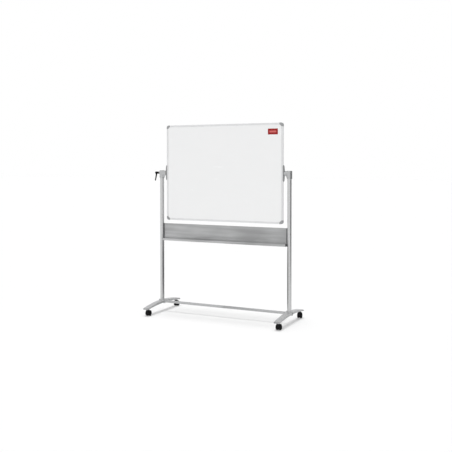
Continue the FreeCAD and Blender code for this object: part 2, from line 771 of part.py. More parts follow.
def clamp_screw():
    """Screw that keeps the handle and its spring on the insert."""
    head_out_x = screw_head_x + lever_screw_head_height
    shank = rod_x(lever_screw_radius, insert_out_x - lever_screw_bite, screw_head_x)
    head = rod_x(lever_screw_head_radius, screw_head_x, head_out_x)
    slot = box(head_out_x - lever_screw_slot_depth, head_out_x,
               -lever_screw_slot_half, lever_screw_slot_half,
               pivot_height - lever_screw_head_radius, pivot_height + lever_screw_head_radius)
    return shank.fuse(head).cut(slot).removeSplitter()


def clamp_handle():
    """Moulded handle: a round hub and an arm that hangs down and leans outwards."""
    hub = rod_x(lever_hub_radius, lever_in_x, lever_out_x)
    hub = hub.makeFillet(lever_hub_round, rim_edges(hub, lever_out_x, lambda p: p.x))
    root = V(lever_in_x + lever_arm_offset, 0, pivot_height)
    tip = V(root.x + lever_lean, 0, pivot_height - lever_drop + lever_tip_radius)
    run = tip - root
    arm = Part.makeCone(lever_root_radius, lever_tip_radius, run.Length, root, run)
    arm = arm.fuse(Part.makeSphere(lever_tip_radius, tip))
    bore = rod_x(insert_radius + lever_fit, lever_in_x, shoulder_in_x)
    pilot = rod_x(lever_screw_radius + lever_fit, shoulder_in_x, shoulder_out_x)
    recess = rod_x(lever_recess_radius, shoulder_out_x, lever_out_x + 1)
    return hub.fuse(arm).removeSplitter().cut([bore, pilot, recess])


def clamp_spring():
    """Compression spring between the handle's shoulder and the screw's head."""
    wire = spring_wire_radius
    run = spring_length - 2 * wire
    helix = Part.makeHelix(run / spring_turns, run, spring_coil_radius)
    profile = Part.Wire(Part.makeCircle(wire, V(spring_coil_radius, 0, 0), V(0, 1, 0)))
    spring = Part.Wire(helix).makePipeShell([profile], True, True)
    spring.rotate(V(0, 0, 0), V(0, 1, 0), 90)
    spring.translate(V(shoulder_out_x + wire, 0, pivot_height))
    return spring


save("clamp_stud", left_of(clamp_stud()))
save("clamp_screw", left_of(clamp_screw()))
save("clamp_handle", left_of(clamp_handle()))
save("clamp_spring", left_of(clamp_spring()))


# ---- castors -----------------------------------------------------------------
# Each is built with its stem axis on the origin and its wheels trailing towards +Y.
def castor_wheel(side):
    """One of the twin wheels, with a dished outer face and a blind bore."""
    inner = side * (web_thickness / 2 + side_clearance)
    outer = side * (web_thickness / 2 + side_clearance + wheel_width)
    wheel = rod(wheel_radius, V(inner, castor_trail, wheel_radius),
                V(outer, castor_trail, wheel_radius))
    wheel = wheel.makeFillet(wheel_edge_round, rim_edges(wheel, outer, lambda p: p.x))
    wheel = wheel.makeFillet(wheel_inner_round, rim_edges(wheel, inner, lambda p: p.x))
    dish = rod(wheel_dish_radius, V(outer - side * wheel_dish_depth, castor_trail, wheel_radius),
               V(outer, castor_trail, wheel_radius))
    bore = rod(axle_radius + running_clearance, V(inner, castor_trail, wheel_radius),
               V(axle_end(side) + side * side_clearance, castor_trail, wheel_radius))
    return wheel.cut([dish, bore])


def axle_end(side):
    """Where the axle ends inside a wheel."""
    outer = web_thickness / 2 + side_clearance + wheel_width
    return side * (outer - wheel_dish_depth - axle_end_cover)


def castor_axle():
    """Steel pin through the housing's web."""
    return rod(axle_radius, V(axle_end(-1), castor_trail, wheel_radius),
               V(axle_end(1), castor_trail, wheel_radius))


def castor_housing():
    """Web between the wheels, hood over them and the neck round the pintle."""
    inner = wheel_radius + hood_gap
    outer = inner + hood_wall
    centre = V(0, castor_trail, wheel_radius)
    web = axle_drum(outer, web_thickness / 2)
    ring = axle_drum(outer, hood_half_width)
    ring = ring.makeFillet(hood_edge_round, rim_edges(ring, hood_half_width, lambda p: abs(p.x)))
    wheels_room = axle_drum(inner, hood_half_width + 1)
    sector = wedge(centre, hood_half_width, 2 * outer)
    disc = axle_drum(web_radius, web_thickness / 2)
    body = web.common(sector.fuse(disc)).fuse(ring.cut(wheels_room).common(sector))
    neck_top = castor_boss_height - side_clearance
    neck = rod_z(neck_radius, 0, 0, wheel_radius, neck_top)
    neck = neck.makeFillet(neck_edge_round, rim_edges(neck, neck_top, lambda p: p.z))
    body = body.fuse(neck.cut(wheels_room)).removeSplitter()
    pintle_way = rod_z(pintle_radius + running_clearance, 0, 0,
                       castor_boss_height - pintle_length - side_clearance, castor_boss_height)
    return body.cut([pintle_way, castor_axle()])


def axle_drum(radius, half_width):
    """A drum round the wheels' axle."""
    return rod(radius, V(-half_width, castor_trail, wheel_radius),
               V(half_width, castor_trail, wheel_radius))


def wedge(centre, half_w, reach):
    """The sector that the hood covers, as a prism along the axle."""
    steps = 8
    points = [centre]
    for i in range(steps + 1):
        angle = math.radians(hood_start + (hood_end - hood_start) * i / steps)
        points.append(centre + V(0, -reach * math.cos(angle), reach * math.sin(angle)))
    face = Part.Face(Part.makePolygon([p - V(half_w, 0, 0) for p in points + points[:1]]))
    return face.extrude(V(2 * half_w, 0, 0))


castor_pieces = {
    "housing": castor_housing(),
    "axle": castor_axle(),
    "wheel_left": castor_wheel(-1),
    "wheel_right": castor_wheel(1),
}
for place, (x, y) in castor_places.items():
    for piece, shape in castor_pieces.items():
        copy = shape.copy()
        copy.rotate(V(0, 0, 0), V(0, 0, 1), castor_swivel[place])
        copy.translate(V(x, y, 0))
        save(place + "_castor_" + piece, copy)
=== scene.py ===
"""Rolling whiteboard: finishes, small pieces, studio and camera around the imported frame.

Metres, +Z up, +X to the reader's right; the front of the board looks along -Y.
"""
import json  # noqa: E402
import logging  # noqa: E402
import math  # noqa: E402
from collections.abc import Callable, Iterable  # noqa: E402
from dataclasses import dataclass, field  # noqa: E402
from enum import Enum  # noqa: E402

import bmesh  # noqa: E402
import bpy  # noqa: E402
from mathutils import Matrix, Vector  # noqa: E402


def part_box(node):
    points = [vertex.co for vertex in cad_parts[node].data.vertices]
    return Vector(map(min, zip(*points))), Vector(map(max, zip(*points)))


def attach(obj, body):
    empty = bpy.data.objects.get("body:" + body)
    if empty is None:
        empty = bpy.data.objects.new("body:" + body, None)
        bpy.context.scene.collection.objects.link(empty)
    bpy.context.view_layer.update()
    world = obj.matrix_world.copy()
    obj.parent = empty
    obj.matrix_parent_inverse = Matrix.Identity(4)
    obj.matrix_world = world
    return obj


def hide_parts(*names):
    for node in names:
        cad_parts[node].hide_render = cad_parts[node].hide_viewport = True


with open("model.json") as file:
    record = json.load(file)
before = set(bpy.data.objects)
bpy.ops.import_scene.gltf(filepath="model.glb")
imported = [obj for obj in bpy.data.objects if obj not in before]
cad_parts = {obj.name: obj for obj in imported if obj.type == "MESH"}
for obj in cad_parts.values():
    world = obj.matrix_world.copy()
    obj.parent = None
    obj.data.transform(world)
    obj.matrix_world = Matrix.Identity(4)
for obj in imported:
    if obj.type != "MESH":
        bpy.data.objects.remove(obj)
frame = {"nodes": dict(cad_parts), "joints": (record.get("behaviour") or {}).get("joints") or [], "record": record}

Triple = tuple[float, float, float]
Colour = Triple
Range = tuple[float, float]
Socket = bpy.types.NodeSocket
Test = Callable[[Vector, Vector], bool]

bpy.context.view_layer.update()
MM = 0.001
NEAR = 1e-6  # metres within which two places count as one
FACING = 0.99  # cosine from which a face counts as facing an axis
QUARTER = math.pi / 2
WHITE = (1.0, 1.0, 1.0, 1.0)
FULL: Range = (0.0, 1.0)
MIDDLING: Range = (0.3, 0.7)  # most of a noise's values lie here
log = logging.getLogger("whiteboard")


class Grain(Enum):
    """Axis that the lines of a drawn surface run along."""

    ALONG_X = 0
    ALONG_Z = 2

    def stretch(self, across: float, along: float) -> Triple:
        """Scale that draws a pattern out along the grain.

        Args:
            across: features per metre across the grain.
            along: features per metre along it.

        Returns:
            The scale on each axis.
        """
        return tuple(along if axis == self.value else across for axis in range(3))


class Side(Enum):
    """Left or right hand of the reader, as a sign on X."""

    LEFT = -1
    RIGHT = 1


# ---- node graphs ----
@dataclass(frozen=True)
class Noise:
    """A cloudy pattern, with its features per metre and its octaves."""

    scale: float = 1.0
    octaves: float = 3.0
    rough: float = 0.55
    stretch: Triple | None = None
    turn: Triple = (0.0, 0.0, 0.0)


def emptied(owner: bpy.types.Material | bpy.types.World) -> bpy.types.NodeTree:
    """An owner's node tree, switched on and cleared.

    Args:
        owner: a material or a world.

    Returns:
        Its tree.
    """
    owner.use_nodes = True
    owner.node_tree.nodes.clear()
    return owner.node_tree


def add_node(tree: bpy.types.NodeTree, kind: str,
             **inputs: float | Triple) -> bpy.types.Node:
    """A new node with some of its inputs set.

    Args:
        tree: the tree it goes into.
        kind: its type, without the leading ShaderNode.
        inputs: values by the inputs' names.

    Returns:
        The node.
    """
    node = tree.nodes.new("ShaderNode" + kind)
    for name, value in inputs.items():
        node.inputs[name].default_value = value
    return node


class Graph:
    """A material's node tree, grown socket by socket from object coordinates."""

    def __init__(self, name: str) -> None:
        """Start a tree with a Principled shader at its end.

        Args:
            name: the material's name.
        """
        self.material = bpy.data.materials.new(name)
        self.tree = emptied(self.material)
        self.shader = add_node(self.tree, "BsdfPrincipled")
        output = add_node(self.tree, "OutputMaterial")
        self.join(self.shader.outputs["BSDF"], output.inputs["Surface"])
        self.coordinates = add_node(self.tree, "TexCoord").outputs["Object"]

    def join(self, source: Socket, target: Socket) -> None:
        """Link two sockets."""
        self.tree.links.new(source, target)

    def feed(self, name: str, source: Socket) -> None:
        """Link a socket to one of the shader's inputs."""
        self.join(source, self.shader.inputs[name])

    def set(self, **values: float) -> None:
        """Set the shader's own sockets, by their names with underscores for spaces."""
        for name, value in values.items():
            self.shader.inputs[name.replace("_", " ")].default_value = value

    def noise(self, pattern: Noise) -> Socket:
        """Cloudy noise.

        Args:
            pattern: its size, octaves and stretch.

        Returns:
            The factor socket, about 0.5 on average.
        """
        node = add_node(self.tree, "TexNoise", Scale=pattern.scale, Detail=pattern.octaves,
                        Roughness=pattern.rough)
        vector = self.coordinates
        if pattern.stretch is not None:
            mapping = add_node(self.tree, "Mapping", Scale=pattern.stretch,
                               Rotation=pattern.turn)
            self.join(vector, mapping.inputs["Vector"])
            vector = mapping.outputs["Vector"]
        self.join(vector, node.inputs["Vector"])
        return node.outputs["Fac"]

    def cells(self, scale: float, feature: str = "F1") -> bpy.types.Node:
        """Cell pattern.

        Args:
            scale: cells per metre.
            feature: the distance that is measured.

        Returns:
            The texture node.
        """
        node = add_node(self.tree, "TexVoronoi", Scale=scale)
        node.feature = feature
        self.join(self.coordinates, node.inputs["Vector"])
        return node

    def span(self, source: Socket, result: Range, over: Range = MIDDLING) -> Socket:
        """Spread a factor over a range.

        Args:
            source: the factor.
            result: values at the two ends.
            over: the factors that give them.

        Returns:
            The result socket, clamped to the range.
        """
        ends = {"From Min": over[0], "From Max": over[1],
                "To Min": result[0], "To Max": result[1]}
        node = add_node(self.tree, "MapRange", **ends)
        self.join(source, node.inputs["Value"])
        return node.outputs["Result"]

    def times(self, first: Socket, second: Socket) -> Socket:
        """Product of two factors.

        Args:
            first: one factor.
            second: the other.

        Returns:
            The product's socket.
        """
        node = add_node(self.tree, "Math")
        node.operation = "MULTIPLY"
        self.join(first, node.inputs[0])
        self.join(second, node.inputs[1])
        return node.outputs["Value"]

    def tint(self, factor: Socket, colour: Colour, first: float, second: float = 1.0) -> None:
        """Mix the base colour from two shades of a colour.

        Args:
            factor: 0 for the first shade, 1 for the second.
            colour: linear RGB.
            first: how light the first shade is, 1 being the colour.
            second: the same for the second.
        """
        node = add_node(self.tree, "Mix")
        node.data_type = "RGBA"
        ends = [socket for socket in node.inputs if socket.type == "RGBA"]
        for end, light in zip(ends, (first, second)):
            end.default_value = (*(min(1.0, channel * light) for channel in colour), 1.0)
        self.join(factor, node.inputs[0])
        self.feed("Base Color", next(s for s in node.outputs if s.type == "RGBA"))

    def roughen(self, factor: Socket, base: float, spread: Range,
                over: Range = MIDDLING) -> None:
        """Spread the roughness about a base by a factor.

        Args:
            factor: what it follows.
            base: the finish's roughness.
            spread: what is added to it at the two ends.
            over: the factors at those ends.
        """
        ends = (base + spread[0], base + spread[1])
        self.feed("Roughness", self.span(factor, ends, over))

    def bump(self, height: Socket, depth: float, under: Socket | None = None) -> Socket:
        """Relief from a height factor.

        Args:
            height: the factor.
            depth: metres between factor 0 and 1.
            under: normal of a coarser relief below this one.

        Returns:
            The normal socket.
        """
        node = add_node(self.tree, "Bump", Strength=1.0, Distance=depth)
        self.join(height, node.inputs["Height"])
        if under is not None:
            self.join(under, node.inputs["Normal"])
        return node.outputs["Normal"]


# ---- finishes ----
MADE: dict["Finish", bpy.types.Material] = {}


@dataclass(frozen=True)
class Finish:
    """What a surface is made of; each kind lays its own nodes."""

    name: str
    colour: Colour
    roughness: float = 0.4

    def material(self) -> bpy.types.Material:
        """The finish's material, made once.

        Returns:
            The material.
        """
        if self not in MADE:
            graph = Graph(self.name)
            self.lay(graph)
            MADE[self] = graph.material
        return MADE[self]

    def lay(self, graph: Graph) -> None:
        """Build the finish's nodes on a new graph."""
        raise NotImplementedError


@dataclass(frozen=True)
class Enamel(Finish):
    """Baked writing enamel: glossy and faintly clouded, with long soft traces of wiping."""

    clouds: Noise = Noise(2.2, 2.0)
    cloud_tone: Range = (0.75, 1.0)
    wiping: Noise = Noise(9.0, 4.0, 0.6, (0.55, 1.0, 2.6), (0.0, 0.32, 0.0))
    wipe_tone: Range = (0.8, 1.0)
    wipe_gloss: Range = (0.0, 0.12)
    darkest: float = 0.968
    peel: Noise = Noise(210.0, 1.0)
    peel_depth: float = 0.00002
    shine: float = 0.5
    coat: float = 0.25
    coat_roughness: float = 0.08

    def lay(self, graph: Graph) -> None:
        """Clouds and wipe traces in colour and gloss, over a very shallow peel.

        Args:
            graph: the new graph.
        """
        wiped = graph.noise(self.wiping)
        tone = graph.times(graph.span(graph.noise(self.clouds), self.cloud_tone),
                           graph.span(wiped, self.wipe_tone))
        graph.tint(tone, self.colour, self.darkest)
        graph.roughen(wiped, self.roughness, self.wipe_gloss)
        graph.feed("Normal", graph.bump(graph.noise(self.peel), self.peel_depth))
        graph.set(Specular_IOR_Level=self.shine, Coat_Weight=self.coat,
                  Coat_Roughness=self.coat_roughness)


@dataclass(frozen=True)
class DrawnMetal(Finish):
    """Anodised or bare drawn metal with fine lines along its length."""

    metallic: float = 0.6
    grain: Grain = Grain.ALONG_Z
    across: float = 2600.0
    along: float = 6.0
    line_octaves: float = 4.0
    line_rough: float = 0.6
    line_tone: Range = (0.55, 1.0)
    line_gloss: Range = (-0.05, 0.1)
    line_depth: float = 0.000012
    drift: Noise = Noise(5.0, 2.0)
    drift_tone: Range = (0.82, 1.0)
    darkest: float = 0.84

    def lay(self, graph: Graph) -> None:
        """Fine lines in colour, gloss and relief, and a slow drift of tone.

        Args:
            graph: the new graph.
        """
        stretch = self.grain.stretch(self.across, self.along)
        lines = graph.noise(Noise(1.0, self.line_octaves, self.line_rough, stretch))
        tone = graph.times(graph.span(lines, self.line_tone),
                           graph.span(graph.noise(self.drift), self.drift_tone))
        graph.tint(tone, self.colour, self.darkest)
        graph.roughen(lines, self.roughness, self.line_gloss)
        graph.feed("Normal", graph.bump(lines, self.line_depth))
        graph.set(Metallic=self.metallic)


@dataclass(frozen=True)
class SilverPaint(Finish):
    """Sprayed silver paint: fine flakes in an orange-peel film."""

    metallic: float = 0.3
    flakes: float = 1500.0
    flake_range: Range = (0.1, 0.9)
    # how light each flake is painted: painted glint
    flake_glint_tone: Range = (0.7, 1.0)
    flake_gloss: Range = (-0.06, 0.1)
    flake_depth: float = 0.00001
    mottle: Noise = Noise(85.0)
    mottle_tone: Range = (0.3, 1.0)
    darkest: float = 0.7
    palest: float = 1.12
    peel: Noise = Noise(420.0, 2.0)
    peel_depth: float = 0.00008
    shine: float = 0.25

    def lay(self, graph: Graph) -> None:
        """Flakes that each catch the light their own way, with painted glint in their tone, under a soft peel.

        Args:
            graph: the new graph.
        """
        grey = add_node(graph.tree, "RGBToBW")
        graph.join(graph.cells(self.flakes).outputs["Color"], grey.inputs["Color"])
        sparkle = grey.outputs["Val"]
        # painted glint: some flakes painted lighter than others, as if they caught the light
        tone = graph.times(graph.span(sparkle, self.flake_glint_tone, self.flake_range),
                           graph.span(graph.noise(self.mottle), self.mottle_tone))
        graph.tint(tone, self.colour, self.darkest, self.palest)
        graph.roughen(sparkle, self.roughness, self.flake_gloss, FULL)
        peel = graph.bump(graph.noise(self.peel), self.peel_depth)
        graph.feed("Normal", graph.bump(sparkle, self.flake_depth, peel))
        graph.set(Metallic=self.metallic, Specular_IOR_Level=self.shine)


@dataclass(frozen=True)
class RolledPaint(Finish):
    """Silver coil paint on sheet metal, with faint roller lines along X."""

    metallic: float = 0.35
    lines: Noise = Noise(1.0, 6.0, 0.6, (1.6, 34.0, 34.0))
    line_range: Range = (0.38, 0.62)
    line_tone: Range = (0.45, 1.0)
    line_gloss: Range = (-0.05, 0.08)
    line_depth: float = 0.00002
    drift: Noise = Noise(2.4, 2.0, 0.5, (1.0, 1.0, 2.4))
    drift_range: Range = (0.36, 0.64)
    drift_tone: Range = (0.4, 1.0)
    darkest: float = 0.52
    peel: Noise = Noise(420.0, 2.0)
    peel_depth: float = 0.00006
    coat: float = 0.1
    coat_roughness: float = 0.3

    def lay(self, graph: Graph) -> None:
        """Roller lines and a slow drift of tone, over a fine peel.

        Args:
            graph: the new graph.
        """
        lines = graph.noise(self.lines)
        drift = graph.span(graph.noise(self.drift), self.drift_tone, self.drift_range)
        tone = graph.times(graph.span(lines, self.line_tone, self.line_range), drift)
        graph.tint(tone, self.colour, self.darkest)
        graph.roughen(lines, self.roughness, self.line_gloss)
        peel = graph.bump(graph.noise(self.peel), self.peel_depth)
        graph.feed("Normal", graph.bump(lines, self.line_depth, peel))
        graph.set(Metallic=self.metallic, Coat_Weight=self.coat,
                  Coat_Roughness=self.coat_roughness)


@dataclass(frozen=True)
class CastPaint(Finish):
    """Grey enamel over a sand-cast surface."""

    metallic: float = 0.85
    sand: Noise = Noise(760.0, 4.0, 0.6)
    # tone ranges that darken the low places of the sand and the swell: painted shade in the hollows
    sand_hollow_shade: Range = (0.6, 1.0)
    sand_gloss: Range = (0.08, -0.04)
    sand_depth: float = 0.00008
    swell: Noise = Noise(90.0, 2.0)
    swell_hollow_shade: Range = (0.8, 1.0)
    swell_depth: float = 0.0002
    darkest: float = 0.8

    def lay(self, graph: Graph) -> None:
        """Casting texture under the paint, with painted shade darkening its hollows.

        Args:
            graph: the new graph.
        """
        sand, swell = graph.noise(self.sand), graph.noise(self.swell)
        # painted shade: the texture's hollows made darker
        tone = graph.times(graph.span(sand, self.sand_hollow_shade),
                           graph.span(swell, self.swell_hollow_shade))
        graph.tint(tone, self.colour, self.darkest)
        graph.roughen(sand, self.roughness, self.sand_gloss)
        soft = graph.bump(swell, self.swell_depth)
        graph.feed("Normal", graph.bump(sand, self.sand_depth, soft))
        graph.set(Metallic=self.metallic)


@dataclass(frozen=True)
class Moulded(Finish):
    """Injection-moulded plastic with an etched grain and slight flow marks."""

    grains: float = 1100.0
    grain_depth: float = 0.00006
    shine: float = 0.25
    flow: Noise = Noise(28.0, 3.0, 0.5, (1.0, 1.0, 0.35))
    flow_gloss: Range = (-0.06, 0.08)
    darkest: float = 0.86
    palest: float = 1.1

    def lay(self, graph: Graph) -> None:
        """Etched grain, flow marks, and polish that differs from place to place.

        Args:
            graph: the new graph.
        """
        flow = graph.noise(self.flow)
        graph.tint(graph.span(flow, FULL), self.colour, self.darkest, self.palest)
        graph.roughen(flow, self.roughness, self.flow_gloss)
        etched = graph.cells(self.grains).outputs["Distance"]
        graph.feed("Normal", graph.bump(etched, self.grain_depth))
        graph.set(Specular_IOR_Level=self.shine)


@dataclass(frozen=True)
class MachinedSteel(Finish):
    """Plated or blackened steel with fine tool marks."""

    marks: Noise = Noise(3200.0, 2.0)
    mark_gloss: Range = (-0.07, 0.1)
    mark_depth: float = 0.000012
    plating: Noise = Noise(160.0)
    darkest: float = 0.8

    def lay(self, graph: Graph) -> None:
        """Short scratches all ways and a light mottling of the plating.

        Args:
            graph: the new graph.
        """
        marks = graph.noise(self.marks)
        graph.tint(graph.span(graph.noise(self.plating), FULL), self.colour, self.darkest)
        graph.roughen(marks, self.roughness, self.mark_gloss)
        graph.feed("Normal", graph.bump(marks, self.mark_depth))
        graph.set(Metallic=1.0)


@dataclass(frozen=True)
class Wood(Finish):
    """Planed hardwood."""

    rings: Noise = Noise(1.0, 5.0, 0.65, (18.0, 260.0, 260.0))
    ring_gloss: Range = (0.1, 0.0)
    ring_depth: float = 0.00005
    darkest: float = 0.6

    def lay(self, graph: Graph) -> None:
        """Growth rings drawn out along X.

        Args:
            graph: the new graph.
        """
        rings = graph.noise(self.rings)
        graph.tint(graph.span(rings, FULL), self.colour, self.darkest)
        graph.roughen(rings, self.roughness, self.ring_gloss)
        graph.feed("Normal", graph.bump(rings, self.ring_depth))


@dataclass(frozen=True)
class CoreBoard(Finish):
    """Kraft honeycomb core."""

    cells: float = 75.0
    wall: Range = (0.02, 0.12)
    # how light the middle of each cell is: painted shade in the hollows
    painted_hollow_shade: float = 0.45
    hollow_depth: float = 0.001

    def lay(self, graph: Graph) -> None:
        """Paper cell walls, with painted shade darkening the hollows between them.

        Args:
            graph: the new graph.
        """
        walls = graph.cells(self.cells, "DISTANCE_TO_EDGE").outputs["Distance"]
        # painted shade: the cells' middles darker than their walls
        graph.tint(graph.span(walls, FULL, self.wall), self.colour, 1.0, self.painted_hollow_shade)
        height = graph.span(walls, FULL[::-1], self.wall)
        graph.feed("Normal", graph.bump(height, self.hollow_depth))
        graph.set(Roughness=self.roughness)


@dataclass(frozen=True)
class Vinyl(Finish):
    """Printed adhesive film."""

    ink: Noise = Noise(140.0)
    ink_gloss: Range = (0.0, 0.1)
    darkest: float = 0.88
    waves: Noise = Noise(60.0, 1.0)
    wave_depth: float = 0.00006
    shine: float = 0.3

    def lay(self, graph: Graph) -> None:
        """Slight unevenness of the ink and the film.

        Args:
            graph: the new graph.
        """
        ink = graph.noise(self.ink)
        graph.tint(graph.span(ink, FULL), self.colour, self.darkest)
        graph.roughen(ink, self.roughness, self.ink_gloss)
        graph.feed("Normal", graph.bump(graph.noise(self.waves), self.wave_depth))
        graph.set(Specular_IOR_Level=self.shine)


@dataclass(frozen=True)
class Rubber(Finish):
    """Tyre rubber, dusty where it rolls."""

    dust: Noise = Noise(240.0, 4.0, 0.65)
    dust_range: Range = (0.45, 0.8)
    dust_gloss: Range = (-0.05, 0.15)
    palest: float = 2.2
    grain: Noise = Noise(1300.0, 2.0)
    grain_depth: float = 0.00008
    shine: float = 0.08

    def lay(self, graph: Graph) -> None:
        """Dull mottled grain with a little dust.

        Args:
            graph: the new graph.
        """
        dust = graph.noise(self.dust)
        graph.tint(graph.span(dust, FULL, self.dust_range), self.colour, 1.0, self.palest)
        graph.roughen(dust, self.roughness, self.dust_gloss)
        graph.feed("Normal", graph.bump(graph.noise(self.grain), self.grain_depth))
        graph.set(Specular_IOR_Level=self.shine)


ANODISED = (0.6, 0.604, 0.608)
BRIGHT_ANODISED = (0.74, 0.745, 0.75)
FINISHES: dict[str, Finish] = {
    "whiteboard_surface": Enamel("writing_enamel", (0.825, 0.828, 0.83), 0.16),
    "board_core": CoreBoard("kraft_core", (0.52, 0.38, 0.22), 0.8),
    "satin_aluminium": DrawnMetal("anodised_upright", ANODISED, 0.25, metallic=0.8),
    "corner_plastic": Moulded("corner_grey", (0.32, 0.325, 0.33), 0.42),
    "grey_cast": CastPaint("cast_grey", (0.5, 0.505, 0.51), 0.24),
    "silver_paint": SilverPaint("sprayed_silver", (0.5, 0.505, 0.51), 0.42),
    "tray_paint": RolledPaint("rolled_silver", (0.56, 0.565, 0.57), 0.42),
    "bright_steel": MachinedSteel("plated_steel", (0.56, 0.56, 0.57), 0.3),
    "dark_steel": MachinedSteel("blackened_steel", (0.07, 0.07, 0.075), 0.38),
    "hardwood": Wood("planed_beech", (0.42, 0.27, 0.14), 0.5),
    "foot_cap_plastic": Moulded("foot_cap_grey", (0.36, 0.364, 0.37), 0.4),
    "black_plastic": Moulded("handle_black", (0.005, 0.005, 0.0055), 0.5, shine=0.12),
    "dark_grey_plastic": Moulded("bracket_grey", (0.11, 0.112, 0.115), 0.45),
    "nylon": Moulded("natural_nylon", (0.62, 0.60, 0.55), 0.35, 600.0, 0.00003),
    "castor_black": Moulded("castor_moulding", (0.006, 0.006, 0.007), 0.5, 1400.0, 0.00003, 0.1),
}
FRAME_UPRIGHT = DrawnMetal("frame_upright", BRIGHT_ANODISED, 0.34, 0.45)
FRAME_LEVEL = DrawnMetal("frame_level", BRIGHT_ANODISED, 0.34, 0.45, Grain.ALONG_X)
PLATE_GREY = CastPaint("plate_grey", (0.3, 0.304, 0.308), 0.4, 0.3)
OWN_FINISH: dict[str, Finish] = {
    "left_pivot_plate": PLATE_GREY,
    "right_pivot_plate": PLATE_GREY,
    "frame_top": FRAME_LEVEL,
    "frame_bottom": FRAME_LEVEL,
    "frame_left": FRAME_UPRIGHT,
    "frame_right": FRAME_UPRIGHT,
    # a darker copy of the tray's rolled silver: painted shade from the board above and the trough
    "tray_panel": RolledPaint("panel_paint", (0.49, 0.494, 0.498), 0.45),
}
BEAD_GREY = Moulded("bead_grey", (0.6, 0.605, 0.61), 0.45)
LABEL_RED = Vinyl("label_red", (0.3, 0.012, 0.012), 0.4)
LABEL_PALE = Vinyl("label_pale", (0.62, 0.14, 0.13), 0.45)
TYRE_BLACK = Rubber("tyre_black", (0.007, 0.007, 0.0075), 0.65)


# ---- modelling ----
def only(piece: bpy.types.Object) -> None:
    """Select one piece and nothing else.

    Args:
        piece: the piece to select.
    """
    bpy.ops.object.select_all(action="DESELECT")
    piece.select_set(True)
    bpy.context.view_layer.objects.active = piece


def apply_place(piece: bpy.types.Object) -> None:
    """Put a piece's place, turn and scale into its mesh."""
    only(piece)
    bpy.ops.object.transform_apply(location=True, rotation=True, scale=True)


class Edit:
    """Edit mode on one piece, with picking by place and normal."""

    def __init__(self, piece: bpy.types.Object) -> None:
        """Take the piece that is to be shaped."""
        self.piece = piece

    def __enter__(self) -> "Edit":
        """Open the piece for editing, with nothing picked.

        Returns:
            The open piece.
        """
        only(self.piece)
        bpy.ops.object.mode_set(mode="EDIT")
        bpy.ops.mesh.select_all(action="DESELECT")
        return self

    def __exit__(self, *_: object) -> None:
        """Close the piece."""
        bpy.ops.object.mode_set(mode="OBJECT")

    def pick(self, kind: str,
             test: Callable[[bmesh.types.BMFace | bmesh.types.BMEdge], bool]) -> None:
        """Pick the elements that pass a test.

        Args:
            kind: FACE or EDGE.
            test: takes one of them.
        """
        bpy.ops.mesh.select_mode(type=kind)
        mesh = bmesh.from_edit_mesh(self.piece.data)
        for element in mesh.faces if kind == "FACE" else mesh.edges:
            element.select_set(test(element))
        mesh.select_flush_mode()
        bmesh.update_edit_mesh(self.piece.data)

    def faces(self, test: Test) -> None:
        """Pick faces by a test of their centre and normal."""
        self.pick("FACE", lambda face: test(face.calc_center_median(), face.normal))

    def edges(self, test: Test) -> None:
        """Pick edges by a test of their two ends."""
        self.pick("EDGE", lambda edge: test(edge.verts[0].co, edge.verts[1].co))

    def everything(self) -> None:
        """Pick the whole piece."""
        bpy.ops.mesh.select_all(action="SELECT")

    def push(self, shift: Triple) -> None:
        """Extrude what is picked and move it."""
        bpy.ops.mesh.extrude_region_move(TRANSFORM_OT_translate={"value": shift})

    def inset(self, width: float) -> None:
        """Inset the picked faces as one region."""
        bpy.ops.mesh.inset(thickness=width, depth=0.0)

    def round(self, width: float, segments: int) -> None:
        """Bevel the picked edges."""
        bpy.ops.mesh.bevel(offset=width, segments=segments, profile=0.5, affect="EDGES")

    def scale(self, factors: Triple, centre: Vector) -> None:
        """Scale what is picked about a point."""
        bpy.ops.transform.resize(value=factors, center_override=centre)

    def outward(self) -> None:
        """Merge doubles and turn every face outwards."""
        self.everything()
        bpy.ops.mesh.remove_doubles(threshold=NEAR)
        bpy.ops.mesh.normals_make_consistent(inside=False)


def start_block(centre: Vector, size: Triple) -> bpy.types.Object:
    """A block or a flat plate to shape.

    Args:
        centre: its middle.
        size: its lengths; a flat plate's is 0 along its normal, which is Y or Z.

    Returns:
        The object, with its place in its mesh.
    """
    bpy.ops.object.select_all(action="DESELECT")
    if 0.0 in size:
        tilt = QUARTER if size[1] == 0.0 else 0.0
        bpy.ops.mesh.primitive_plane_add(size=1.0, rotation=(tilt, 0.0, 0.0))
    else:
        bpy.ops.mesh.primitive_cube_add(size=1.0)
    piece = bpy.context.object
    apply_place(piece)
    with Edit(piece) as edit:
        edit.everything()
        edit.scale(tuple(length or 1.0 for length in size), Vector())
        bpy.ops.transform.translate(value=centre)
    return piece


def start_drum(centre: Vector, radius: float, width: float, steps: int) -> bpy.types.Object:
    """A round bar along X to shape.

    Args:
        centre: its middle.
        radius: its radius.
        width: its length.
        steps: sides round it.

    Returns:
        The object, with its place in its mesh.
    """
    bpy.ops.object.select_all(action="DESELECT")
    bpy.ops.mesh.primitive_cylinder_add(vertices=steps, radius=radius, depth=width,
                                        location=centre, rotation=(0.0, QUARTER, 0.0))
    piece = bpy.context.object
    apply_place(piece)
    return piece


def start_copy(source: bpy.types.Object, name: str) -> bpy.types.Object:
    """A new piece with its own copy of another's mesh.

    Args:
        source: the object to copy.
        name: the new piece's name.

    Returns:
        The new object.
    """
    piece = bpy.data.objects.new(name, source.data.copy())
    piece.data.name = name
    bpy.context.scene.collection.objects.link(piece)
    return piece


def apply_modifier(piece: bpy.types.Object, kind: str, **settings: object) -> None:
    """Add one modifier and apply it.

    Args:
        piece: the object.
        kind: the modifier's type.
        settings: its properties.
    """
    only(piece)
    modifier = piece.modifiers.new(kind.lower(), kind)
    for key, value in settings.items():
        setattr(modifier, key, value)
    bpy.ops.object.modifier_apply(modifier=modifier.name)


